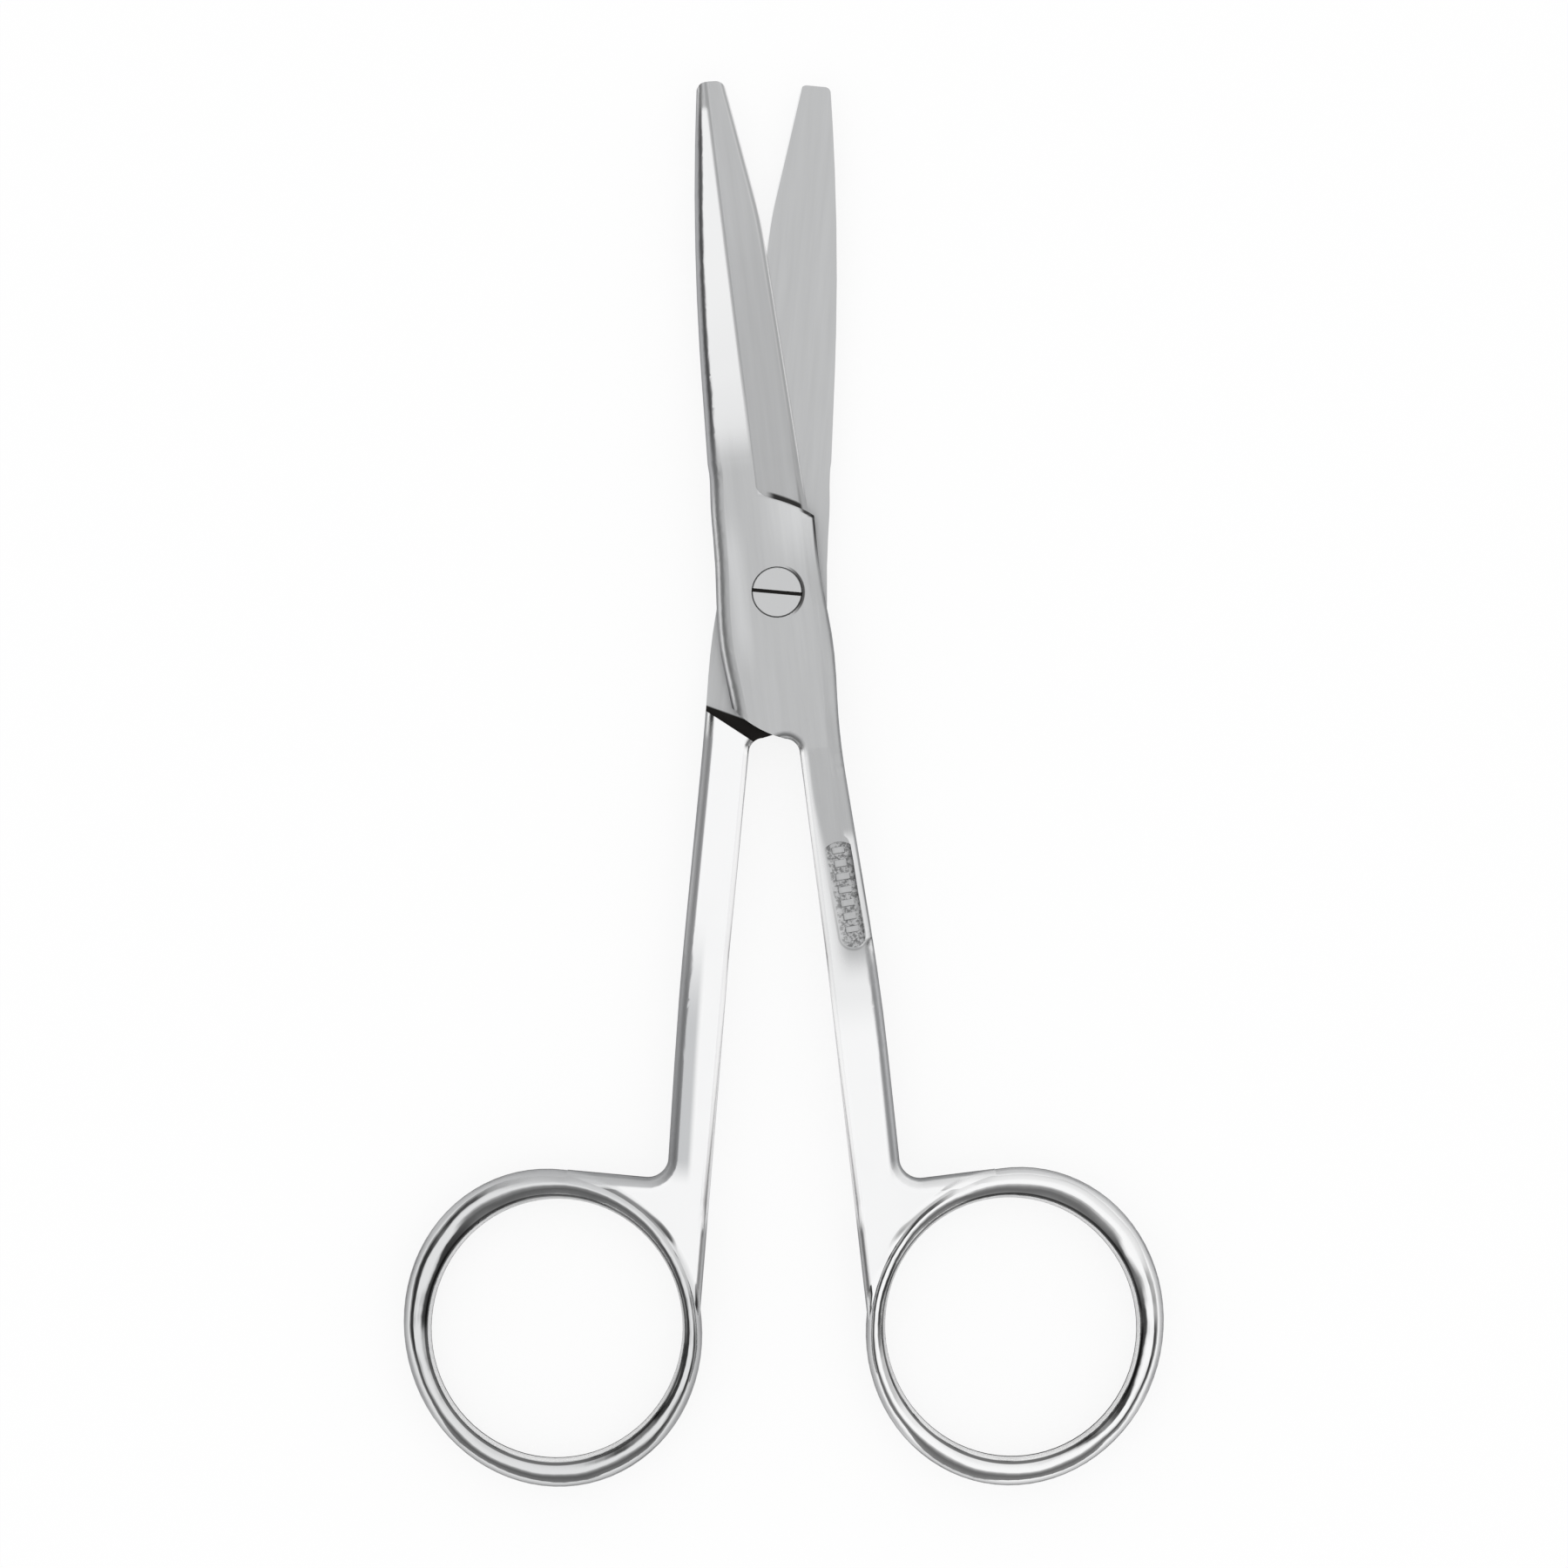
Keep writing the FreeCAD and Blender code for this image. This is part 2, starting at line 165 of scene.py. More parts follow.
tent = mix_colour(tree, towards(bearing_of_tips), grey_scale(tree, from_zenith, tent_beside),
                  grey_scale(tree, from_zenith, tent_beyond_tips))
tent = mix_colour(tree, towards(bearing_of_rings), tent,
                  grey_scale(tree, from_zenith, tent_beyond_rings))
in_steel = tree.nodes.new("ShaderNodeLightPath").outputs["Is Glossy Ray"]
tree.links.new(mix_colour(tree, in_steel, white, tent), tree.nodes["Background"].inputs["Color"])
tree.nodes["Background"].inputs["Strength"].default_value = 1.0
bpy.context.scene.view_settings.view_transform = "Standard"


# Lower half: one forging of stainless steel, with its blade, lap, shank and ring. The face that
# slides and the outside of lap and blade are belt-ground to a satin, the rest is buffed bright.
mm_per_metre = 1000.0
joint_plane = 2.6
screw_offset = 0.56
opening_angle = 12.4


def noise(tree, place, scale, detail, roughness):
    node = tree.nodes.new("ShaderNodeTexNoise")
    feed(tree, node.inputs["Vector"], place)
    feed(tree, node.inputs["Scale"], scale)
    node.inputs["Detail"].default_value = detail
    node.inputs["Roughness"].default_value = roughness
    return node.outputs["Fac"]


def stretched(tree, place, x, y, z):
    """Scales a place along its three directions."""
    node = tree.nodes.new("ShaderNodeVectorMath")
    node.operation = "MULTIPLY"
    joined = tree.nodes.new("ShaderNodeCombineXYZ")
    for socket, value in zip(joined.inputs, (x, y, z)):
        feed(tree, socket, value)
    feed(tree, node.inputs[0], place)
    tree.links.new(joined.outputs[0], node.inputs[1])
    return node.outputs[0]


def pattern_group(name, numbers, masks):
    """An empty shader group that reads a place and some numbers, and puts out masks."""
    group = bpy.data.node_groups.new(name, "ShaderNodeTree")
    group.interface.new_socket("Place", in_out="INPUT", socket_type="NodeSocketVector")
    for number in numbers:
        group.interface.new_socket(number, in_out="INPUT", socket_type="NodeSocketFloat")
    for mask in masks:
        group.interface.new_socket(mask, in_out="OUTPUT", socket_type="NodeSocketFloat")
    given = group.nodes.new("NodeGroupInput").outputs
    return group, given, group.nodes.new("NodeGroupOutput").inputs


def place_group(tree, group, **values):
    node = tree.nodes.new("ShaderNodeGroup")
    node.node_tree = group
    for name, value in values.items():
        feed(tree, node.inputs[name.replace("_", " ")], value)
    return node.outputs


# What the belt leaves: fine lines along the half, and broad streaks. Scales are per millimetre.
streaks_across = 1.1
streaks_along = 0.05

grain_group, given, result = pattern_group("ground_grain", ("Lines per mm", "Line length"),
                                           ("Lines", "Streaks"))
along = calc(grain_group, "DIVIDE", 1.0, given["Line length"])
fine = stretched(grain_group, given["Place"], given["Lines per mm"], along, given["Lines per mm"])
feed(grain_group, result["Lines"], noise(grain_group, fine, 1.0, detail=3.0, roughness=0.6))
wide = stretched(grain_group, given["Place"], streaks_across, streaks_along, streaks_across)
feed(grain_group, result["Streaks"], noise(grain_group, wide, 1.0, detail=3.0, roughness=0.55))

# What hands and trays leave on the polish: soft smudges, and hairline scratches along the half.
smudge_levels = ((0.42, 0.0), (0.68, 1.0))
hairlines_across = 5.0
hairlines_along = 0.35
hairline_levels = ((0.66, 0.0), (0.72, 1.0))

smudge_group, given, result = pattern_group("handling_smudges", ("Smudge size",),
                                            ("Smudges", "Hairlines"))
smudge_scale = calc(smudge_group, "DIVIDE", 1.0, given["Smudge size"])
cloud = noise(smudge_group, given["Place"], smudge_scale, detail=4.0, roughness=0.6)
feed(smudge_group, result["Smudges"], grey_scale(smudge_group, cloud, smudge_levels))
scratched = stretched(smudge_group, given["Place"], hairlines_across, hairlines_along,
                      hairlines_across)
hair = noise(smudge_group, scratched, 1.0, detail=5.0, roughness=0.75)
feed(smudge_group, result["Hairlines"], grey_scale(smudge_group, hair, hairline_levels))


def ease(tree, value, low, high):
    """0 below low, 1 above high, with a soft run between them. Low may be the larger."""
    node = tree.nodes.new("ShaderNodeMapRange")
    node.interpolation_type = "SMOOTHSTEP"
    feed(tree, node.inputs["Value"], value)
    feed(tree, node.inputs["From Min"], low)
    feed(tree, node.inputs["From Max"], high)
    return node.outputs["Result"]


def times(tree, *values):
    product = values[0]
    for value in values[1:]:
        product = calc(tree, "MULTIPLY", product, value)
    return product


def either(tree, *values):
    largest = values[0]
    for value in values[1:]:
        largest = calc(tree, "MAXIMUM", largest, value)
    return largest


def opposite(tree, value):
    """1 where the value is 0, and 0 where it is 1."""
    return calc(tree, "SUBTRACT", 1.0, value)


def distance(tree, x, y, centre=(0.0, 0.0)):
    """How far a place lies from a centre, seen along Z."""
    across = calc(tree, "SUBTRACT", x, centre[0])
    along = calc(tree, "SUBTRACT", y, centre[1])
    squares = calc(tree, "ADD", times(tree, across, across), times(tree, along, along))
    return calc(tree, "SQRT", squares)


def measured_from(tree, place, centre, tilt, units=(1.0, 1.0)):
    """x and y of a place, measured from a centre, along tilted axes and in these units."""
    node = tree.nodes.new("ShaderNodeMapping")
    node.vector_type = "TEXTURE"
    node.inputs["Location"].default_value = (*centre, 0.0)
    node.inputs["Rotation"].default_value = (0.0, 0.0, math.radians(tilt))
    node.inputs["Scale"].default_value = (*units, 1.0)
    feed(tree, node.inputs["Vector"], place)
    x, y, height = three_parts(tree, node.outputs[0])
    return x, y


# Places on a half are in millimetres in its own frame: closed, tip along y, cutting edge towards
# x, sliding face at z 0. A pair of places is where a finish is not yet there and where it is full.
level_face = (0.72, 0.86)
outside_z = (0.3, 0.5)
sliding_z = (-0.4, -0.2)
inner_edge_x = 0.95
lap_top = (7.6, 7.2)
outer_round = 1.4
outer_round_y = (-37.5, -36.5)
side_heights = (-62.0, -42.0, -15.5, -6.0, 1.0, 7.4)
side_low = -66.0
side_run = 76.0
side_base = 4.5
side_span = 2.0
step_centre = (-4.984, -6.223)
step_radius = 17.1
edge_x = 4.75
edge_y = 7.4
edge_slope = -0.034
edge_bend_y = 38.6
edge_bend = -0.106
edge_bend_run = 3.0
edge_facet_width = (0.5, 0.4)
edge_facet_y = (7.6, 8.0)
flank_from = (12.5, 20.0)
flank_to = (51.0, 50.2)
flank_x = (-0.15, -0.6)
panel_top_y = -26.8
panel_bottom_y = -38.4
panel_x = 3.5
panel_lean = 3.0
panel_length = 12.0
panel_width = 2.7
panel_floor_z = 2.305
beside_panel_from = (-25.0, -26.5)
beside_panel_to = (panel_bottom_y, panel_bottom_y + 0.6)
shank_round_face = (0.98, 0.92)
shank_round_width = (1.7, 1.2)
shank_round_from = (-14.8, -16.0)
shank_round_to = (-65.0, -62.0)
ring_x = 15.55
ring_tilt = -22.0
ring_half_axes = (15.35, 16.55)
hole_shift = -0.42
hole_half_axes = (13.0, 13.4)
ring_outline = (1.02, 0.98)
ring_begins = (-67.0, -63.0)
inner_rim_share = (0.8, 0.87)


def side_of_shank(tree, y, side_places):
    """x of the outer side of shank and lap at a height: a smooth line through these places."""
    knots = [((height - side_low) / side_run, (side - side_base) / side_span)
             for height, side in zip(side_heights, side_places)]
    up_the_side = calc(tree, "DIVIDE", calc(tree, "SUBTRACT", y, side_low), side_run)
    line = grey_scale(tree, up_the_side, knots)
    line.node.color_ramp.interpolation = "CARDINAL"
    return calc(tree, "MULTIPLY_ADD", line, side_span, side_base)


def cutting_edge(tree, y):
    """x of the cutting edge at a height. It is straight, and bends in towards the tip."""
    bend = calc(tree, "SMOOTH_MAX", calc(tree, "SUBTRACT", y, edge_bend_y), 0.0, edge_bend_run)
    straight = calc(tree, "MULTIPLY_ADD", calc(tree, "SUBTRACT", y, edge_y), edge_slope, edge_x)
    return calc(tree, "MULTIPLY_ADD", bend, edge_bend, straight)


def from_panel_line(tree, place):
    """Distance from the middle line of the round-ended panel."""
    x, y = measured_from(tree, place, (panel_x, panel_top_y), panel_lean)
    on_line = calc(tree, "MAXIMUM", y, panel_width - panel_length)
    on_line = calc(tree, "MINIMUM", on_line, 0.0)
    return distance(tree, x, calc(tree, "SUBTRACT", y, on_line))


def in_ellipse(tree, place, centre, tilt, half_axes):
    """0 at the centre of an ellipse, 1 on its outline and more outside."""
    return distance(tree, *measured_from(tree, place, centre, tilt, half_axes))


class Places:
    """Where a point lies on a forging, as places, distances and masks."""


def places_on(tree, half):
    own = tree.nodes.new("ShaderNodeMapping")
    own.inputs["Scale"].default_value = (mm_per_metre, mm_per_metre, mm_per_metre)
    own.inputs["Rotation"].default_value = (0.0, 0.0, math.radians(half.turn))
    own.inputs["Location"].default_value = (screw_offset, 0.0, -joint_plane)
    tree.links.new(tree.nodes.new("ShaderNodeTexCoord").outputs["Object"], own.inputs["Vector"])
    place = own.outputs[0]
    if half.turned_over:
        place = stretched(tree, place, -1.0, 1.0, -1.0)
    x, y, z = three_parts(tree, place)
    normal = three_parts(tree, tree.nodes.new("ShaderNodeNewGeometry").outputs["Normal"])

    at = Places()
    at.place, at.x, at.y, at.z = place, x, y, z
    at.up = calc(tree, "ABSOLUTE", normal["Z"])
    at.level = ease(tree, at.up, *level_face)
    at.outside = ease(tree, z, *outside_z)
    at.sliding = times(tree, opposite(tree, at.outside), ease(tree, z, *sliding_z))
    at.flank = times(tree, at.outside, ease(tree, y, *flank_from), ease(tree, y, *flank_to),
                     ease(tree, x, *flank_x))
    at.from_step = distance(tree, x, y, step_centre)
    at.from_edge = calc(tree, "SUBTRACT", cutting_edge(tree, y), x)
    at.edge_facet = times(tree, ease(tree, at.from_edge, *edge_facet_width),
                          ease(tree, y, *edge_facet_y), at.outside)
    at.from_side = calc(tree, "SUBTRACT", side_of_shank(tree, y, half.side_places), x)
    at.squared = times(tree, at.outside, ease(tree, y, *outer_round_y), ease(tree, y, *lap_top))
    at.beside_panel = times(tree, ease(tree, y, *beside_panel_to),
                            ease(tree, y, *beside_panel_from))
    if half.turned_over:
        at.shank_round = times(tree, ease(tree, y, *shank_round_from),
                               ease(tree, y, *shank_round_to), ease(tree, at.up, *shank_round_face),
                               ease(tree, at.from_side, *shank_round_width))
    else:
        at.from_panel = from_panel_line(tree, place)

    rim_size = sum(ring_half_axes) / 2
    hole_size = sum(hole_half_axes) / 2
    rim = in_ellipse(tree, place, (ring_x, half.ring_y), ring_tilt, ring_half_axes)
    hole = in_ellipse(tree, place, (ring_x + hole_shift, half.ring_y), 0.0, hole_half_axes)
    at.from_rim = calc(tree, "MULTIPLY_ADD", rim, -rim_size, rim_size)
    at.from_hole = calc(tree, "MULTIPLY_ADD", hole, hole_size, -hole_size)
    at.ring_share = calc(tree, "DIVIDE", calc(tree, "SUBTRACT", at.from_rim, at.from_hole),
                         calc(tree, "ADD", at.from_rim, at.from_hole))
    at.in_ring = ease(tree, rim, *ring_outline)
    at.inner_rim = times(tree, at.in_ring, ease(tree, at.ring_share, *inner_rim_share))
    at.up_the_ring = calc(tree, "SUBTRACT", y, half.ring_y)
    at.from_inner_edge = calc(tree, "SUBTRACT", x, inner_edge_x)
    at.inner_side = times(tree, ease(tree, y, *ring_begins), opposite(tree, at.in_ring))
    return at


# The belt grinds the sliding face, the blade's bevel, the lap and the outside of the shank down
# to the panel's end. The shank's inner edge and a strip beside the panel are buffed again.
shank_ground_y = (-41.5, -37.0)
sliding_face_y = (-19.5, -19.0)
inner_edge_buffed = 0.9
inner_edge_full = 0.3
inner_edge_widens = 1.7
inner_edge_widens_y = (-20.0, -36.0)
inner_edge_from = (-15.5, -17.5)
strip_x = (4.15, 4.45)
strip_to = (-37.6, -36.8)
past_panel = (panel_width / 2 - 0.1, panel_width / 2)
square_side_width = (outer_round + 0.3, outer_round)
square_side_y = (panel_top_y - 1.0, panel_top_y)


def belt_ground(tree, half, at):
    """1 where the belt has left its satin, 0 where the steel is buffed."""
    buffed_width = calc(tree, "MULTIPLY_ADD", ease(tree, at.y, *inner_edge_widens_y),
                        inner_edge_widens, inner_edge_buffed)
    inner_edge = times(tree, ease(tree, at.from_inner_edge, buffed_width, inner_edge_full),
                       ease(tree, at.y, *inner_edge_from))
    outside = times(tree, at.outside, ease(tree, at.y, *shank_ground_y), opposite(tree, at.flank),
                    opposite(tree, inner_edge))
    if not half.turned_over:
        strip = times(tree, at.beside_panel, ease(tree, at.from_panel, *past_panel),
                      ease(tree, at.x, *strip_x), ease(tree, at.y, *strip_to))
        outside = times(tree, outside, opposite(tree, strip))
    sliding_face = times(tree, at.sliding, ease(tree, at.y, *sliding_face_y))
    square_side = times(tree, at.squared, ease(tree, at.from_side, *square_side_width),
                        ease(tree, at.y, *square_side_y))
    return times(tree, either(tree, at.level, square_side, at.edge_facet),
                 either(tree, outside, sliding_face))


# Painted shade: black in the corner under the shoulder, under the curved step beside the cutting
# edge, at the lap's corner, in the screw's seat and round its edge, and along the panel's rim.
painted_shade_black = (0.022, 0.021, 0.02, 1.0)
shoulder_x = 2.7
shoulder_y = -14.4
shoulder_slope = 0.527
corner_depth = 2.1
corner_narrows = -0.27
corner_limit = (0.1, -0.1)
corner_y = (-9.0, -9.5)
above_step = (6.0, 7.0)
step_line_inner = (step_radius - 0.1, step_radius)
step_line_outer = (step_radius + 0.65, step_radius + 0.4)
step_line_x = (0.6, 1.6)
step_line_share = 0.95
step_corner_line = (step_radius - 0.4, step_radius - 0.25)
step_corner_x = (3.8, 4.4)
step_corner_share = 0.9
lap_corner_line = (0.3, 0.15)
lap_corner_from = (1.0, 6.5)
lap_corner_to = (7.7, 7.4)
lap_corner_share = 0.85
seat_radius = (2.75, 2.66)
seat_z = (2.6, 2.5)
seat_x = (-1.2, 1.4)
seat_share = 0.85
seat_least = 0.12
seat_edge_shade_outer = (2.95, 2.82)
seat_edge_shade_inner = (2.5, 2.58)
seat_edge_shade_x = (1.6, 3.0)
seat_edge_shade_share = 0.85
rim_line_inner = (panel_width / 2, panel_width / 2 + 0.1)
rim_line_outer = (panel_width / 2 + 0.35, panel_width / 2 + 0.15)
rim_line_from_side = (0.7, 1.0)
rim_line_y = (-27.0, -36.0)
rim_line_share = 0.3


def painted_shade_mask(tree, half, at):
    """1 where shade is painted black on the steel."""
    shoulder = calc(tree, "MULTIPLY_ADD", calc(tree, "SUBTRACT", at.x, shoulder_x), shoulder_slope,
                    shoulder_y)
    reach = calc(tree, "MULTIPLY_ADD", at.x, corner_narrows, corner_depth)
    past_reach = calc(tree, "SUBTRACT", calc(tree, "SUBTRACT", at.y, shoulder), reach)
    # Painted shade in the gap under the shoulder.
    corner = times(tree, ease(tree, past_reach, *corner_limit), at.sliding,
                   ease(tree, at.y, *corner_y))
    # Painted shade along the foot of the curved step, and at its corner.
    under_step = times(tree, at.outside, ease(tree, at.from_step, *step_line_inner),
                       ease(tree, at.from_step, *step_line_outer), ease(tree, at.x, *step_line_x),
                       ease(tree, at.y, *above_step), step_line_share)
    step_corner = times(tree, at.outside, ease(tree, at.from_step, *step_corner_line),
                        ease(tree, at.x, *step_corner_x), ease(tree, at.y, *above_step),
                        step_corner_share)
    # Painted shade as a line beside the lap's corner.
    lap_corner = times(tree, at.outside, ease(tree, at.from_side, *lap_corner_line),
                       ease(tree, at.y, *lap_corner_from), ease(tree, at.y, *lap_corner_to),
                       lap_corner_share)
    shade = either(tree, corner, under_step, step_corner, lap_corner)
    if half.turned_over:
        return shade
    from_screw = distance(tree, at.x, at.y, (screw_offset, 0.0))
    # Painted shade inside the screw's seat, darkest on its cutting-edge side.
    seat = times(tree, ease(tree, from_screw, *seat_radius), ease(tree, at.z, *seat_z),
                 calc(tree, "MULTIPLY_ADD", ease(tree, at.x, *seat_x), seat_share, seat_least))
    # Painted shade in a ring round the edge of the screw's seat, on its cutting-edge side.
    seat_edge_shade = times(tree, at.outside, ease(tree, from_screw, *seat_edge_shade_outer),
                  ease(tree, from_screw, *seat_edge_shade_inner), ease(tree, at.x, *seat_edge_shade_x),
                  seat_edge_shade_share)
    # Painted shade along the panel's rim.
    rim_line = times(tree, ease(tree, at.from_panel, *rim_line_inner),
                     ease(tree, at.from_panel, *rim_line_outer), at.outside,
                     ease(tree, at.from_side, *rim_line_from_side), ease(tree, at.y, *rim_line_y),
                     rim_line_share)
    return either(tree, shade, seat, seat_edge_shade, rim_line)


# Ground steel: streaks, a bevel painted brighter as painted light, patches of painted light under
# the step and beside the back, and dark specks on the panel's floor, grime and painted shade.
satin_steel = (0.58, 0.585, 0.59)
streak_depth = 0.16
streak_base = 0.92
bevel_painted_light = 0.2
bevel_from_step = (step_radius, step_radius + 0.2)
bevel_x = (-0.25, 0.0)
under_step_from_step = (step_radius, step_radius - 0.3)
under_step_y = (0.5, 8.0)
under_step_x = (-1.0, 3.0)
under_step_painted_light = 0.24
beside_back_to = (10.0, 4.0)
beside_back_from = (-9.0, -3.0)
beside_back_outer = (-4.6, -3.8)
beside_back_inner = (-1.8, -3.4)
beside_back_painted_light = 0.16
floor_outline = (panel_width / 2, panel_width / 2 - 0.15)
floor_z = (panel_floor_z + 0.08, panel_floor_z + 0.03)
specks_per_mm = 2.2
grime_and_shade_levels = ((0.42, 1.0), (0.56, 0.08))
grime_and_shade_depth = -0.6


def ground_colour(tree, half, at, streaks):
    bevel = times(tree, at.outside, ease(tree, at.y, *above_step),
                  ease(tree, at.from_step, *bevel_from_step), ease(tree, at.x, *bevel_x))
    under_step = times(tree, at.outside, ease(tree, at.from_step, *under_step_from_step),
                       ease(tree, at.y, *under_step_y), ease(tree, at.x, *under_step_x))
    beside_back = times(tree, at.outside, ease(tree, at.y, *beside_back_to),
                        ease(tree, at.y, *beside_back_from), ease(tree, at.x, *beside_back_outer),
                        ease(tree, at.x, *beside_back_inner))
    tone = calc(tree, "MULTIPLY_ADD", streaks, streak_depth, streak_base)
    # Painted light: the bevel, and patches under the step and beside the back, are painted brighter.
    tone = times(tree, tone, calc(tree, "MULTIPLY_ADD", bevel, bevel_painted_light, 1.0))
    tone = calc(tree, "MULTIPLY_ADD", under_step, under_step_painted_light, tone)
    tone = calc(tree, "MULTIPLY_ADD", beside_back, beside_back_painted_light, tone)
    if not half.turned_over:
        # Dark specks over the panel's floor: part grime, part painted shade in the recess.
        floor = times(tree, ease(tree, at.from_panel, *floor_outline), at.outside,
                      ease(tree, at.z, *floor_z))
        specks = noise(tree, at.place, specks_per_mm, detail=4.0, roughness=0.7)
        grime_and_shade = times(tree, floor, grey_scale(tree, specks, grime_and_shade_levels), grime_and_shade_depth)
        tone = calc(tree, "ADD", tone, grime_and_shade)
    colour = tree.nodes.new("ShaderNodeVectorMath")
    colour.operation = "SCALE"
    colour.inputs[0].default_value = satin_steel
    feed(tree, colour.inputs["Scale"], tone)
    return colour.outputs[0]


# Buffed steel: painted white on the blade's flank towards the tip as a painted highlight, darker
# at its root and on the shank under the panel, with painted shade on a facet along the shank's
# outer side.
bright_steel = (0.93, 0.932, 0.935, 1.0)
dull_steel = (0.74, 0.745, 0.75, 1.0)
painted_facet_shade = (0.5, 0.508, 0.52, 1.0)
smudge_dulls = 0.06
flank_root_y = (32.0, 18.0)
flank_root_darkens = 0.7
flank_bright_y = (24.0, 34.0)
under_panel_y = (-47.0, -41.5)
under_panel_darkens = 0.5
facet_ends = (-62.0, -59.0)
facet_share = 0.85


def buffed_colour(tree, half, at, smudges):
    dull = either(tree, times(tree, smudges, smudge_dulls),
                  times(tree, at.flank, ease(tree, at.y, *flank_root_y), flank_root_darkens),
                  times(tree, at.outside, ease(tree, at.y, *under_panel_y), under_panel_darkens))
    # Painted shade: a facet down the shank's outer side is painted darker.
    facet = times(tree, ease(tree, at.y, *half.facet_begins), ease(tree, at.y, *facet_ends),
                  ease(tree, at.from_side, *half.facet_width), facet_share)
    # Painted highlight: the flank towards the tip is painted white.
    painted_highlight = times(tree, at.flank, ease(tree, at.y, *flank_bright_y))
    colour = mix_colour(tree, painted_highlight, bright_steel, white)
    colour = mix_colour(tree, dull, colour, dull_steel)
    colour = mix_colour(tree, facet, colour, painted_facet_shade)
    # Each ring takes its half's painted brightness; the lower ring's is painted shade.
    return mix_colour(tree, at.in_ring, colour, half.ring_painted_brightness)


# Walls and lines: painted shade on steep walls, the rings' outer slopes, the blade's back and a
# ridge beside the flank, as their reflection of the tent's dark sides; painted white on the shanks'
# inner walls and the rings' inner rims, as their reflection of the table. A painted crease of shade
# runs round each ring, and the honed edge is a bright line.
painted_wall_shade = (0.4, 0.405, 0.41, 1.0)
painted_back_shade = (0.47, 0.475, 0.485, 1.0)
painted_crease_shade = (0.12, 0.12, 0.12, 1.0)
honed_steel = (0.97, 0.972, 0.975, 1.0)
steep_face = (0.7, 0.45)
inner_wall_from = (-15.5, -16.5)
inner_wall_x = (0.4, 0.2)
outer_slope_share = (0.2, -0.2)
outer_slope_dark = 0.6
panel_side_width = (0.15, 0.3)
back_face = (0.96, 0.9)
back_from = (8.0, 14.0)
back_x = (-0.8, -1.6)
shank_round_dark = 0.6
ridge_from = (14.0, 24.0)
ridge_left = (-0.5, -0.35)
ridge_right = (-0.05, -0.2)
ridge_share = 0.45
crease_outer = (0.55, 0.61)
crease_inner = (0.8, 0.75)
crease_share = 0.9
honed_width = (0.16, 0.08)
honed_from = (9.0, 12.0)


def steel_colour(tree, half, at, satin, grain, smudge):
    inner_wall = times(tree, ease(tree, at.y, *inner_wall_from),
                       ease(tree, at.from_inner_edge, *inner_wall_x), at.inner_side)
    outer_slope = times(tree, ease(tree, at.ring_share, *outer_slope_share), outer_slope_dark)
    panel_side = times(tree, at.beside_panel, ease(tree, at.x, *strip_x),
                       ease(tree, at.from_side, *panel_side_width))
    steep = times(tree, ease(tree, at.up, *steep_face), opposite(tree, inner_wall),
                  opposite(tree, at.edge_facet), opposite(tree, panel_side),
                  either(tree, opposite(tree, at.in_ring), outer_slope))
    back = times(tree, at.outside, ease(tree, at.y, *back_from), ease(tree, at.x, *back_x),
                 ease(tree, at.up, *back_face))
    ridge = times(tree, at.outside, ease(tree, at.y, *ridge_from), ease(tree, at.x, *ridge_left),
                  ease(tree, at.x, *ridge_right), ridge_share)
    crease = times(tree, at.in_ring, ease(tree, at.ring_share, *crease_outer),
                   ease(tree, at.ring_share, *crease_inner), crease_share)
    honed = times(tree, ease(tree, at.from_edge, *honed_width), ease(tree, at.y, *honed_from))

    colour = mix_colour(tree, satin, buffed_colour(tree, half, at, smudge["Smudges"]),
                        ground_colour(tree, half, at, grain["Streaks"]))
    # Painted shade on steep walls and the rings' outer slopes.
    colour = mix_colour(tree, steep, colour, painted_wall_shade)
    # Painted reflection: the shanks' inner walls are painted white.
    colour = mix_colour(tree, inner_wall, colour, white)
    # Painted shade on the blade's back.
    colour = mix_colour(tree, back, colour, painted_back_shade)
    # On the lower half, painted shade on the shank's rounded edge.
    if half.turned_over:
        colour = mix_colour(tree, times(tree, at.shank_round, shank_round_dark), colour, painted_back_shade)
    # Painted shade along a ridge beside the flank.
    colour = mix_colour(tree, ridge, colour, painted_wall_shade)
    # Painted shade in a crease round each ring.
    colour = mix_colour(tree, crease, colour, painted_crease_shade)
    # Painted reflection: the rings' inner rims are painted white.
    colour = mix_colour(tree, at.inner_rim, colour, white)
    colour = mix_colour(tree, honed, colour, honed_steel)
    # Painted shade: black wherever the mask is 1.
    return mix_colour(tree, painted_shade_mask(tree, half, at), colour, painted_shade_black)


# Roughness: the satin has its lines, and the buffed faces are mirror-like where they are level
# and softer on their rounds.
satin_roughness = 0.4
line_roughness = 0.12
bright_roughness = 0.075
smudge_roughness = 0.035
hairline_roughness = 0.05
wall_roughness = 0.13
round_roughness = 0.24
round_face = (0.975, 0.93)
round_from = (-13.0, -14.5)
rim_roughness = 0.4
shank_round_softens = 0.5


